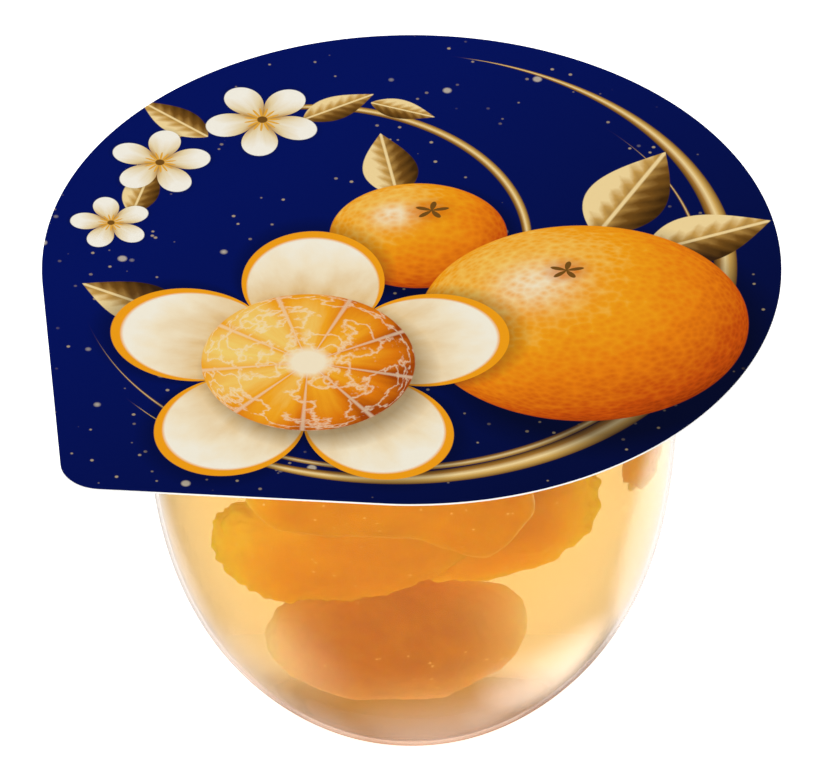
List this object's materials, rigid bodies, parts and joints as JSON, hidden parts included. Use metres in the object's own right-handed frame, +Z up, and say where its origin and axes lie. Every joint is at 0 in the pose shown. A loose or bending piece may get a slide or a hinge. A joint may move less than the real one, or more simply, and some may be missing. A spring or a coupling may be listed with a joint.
{
  "type": "sealed jelly cup",
  "caption": "Single-serve dessert cup: clear round-bottomed cup of set fruit jelly, sealed by a flat peel-off film lid with a pulling corner.",
  "frame": {"origin": "centre of the flat base, on the surface the cup stands on", "axes": "+Z up, from the base to the lid; the lid's pulling corner points half way between -X and -Y"},
  "size_m": [0.108, 0.108, 0.074],
  "materials": {
    "cup_plastic": "clear, smooth and glossy, under a millimetre thick",
    "jelly": "clear amber fruit jelly, wet and smooth",
    "lid_film": "printed film with a soft gloss, white underneath"
  },
  "bodies": {
    "root": {"cup": "cup_plastic", "jelly": "jelly", "lid": "lid_film"}
  },
  "joints": []
}
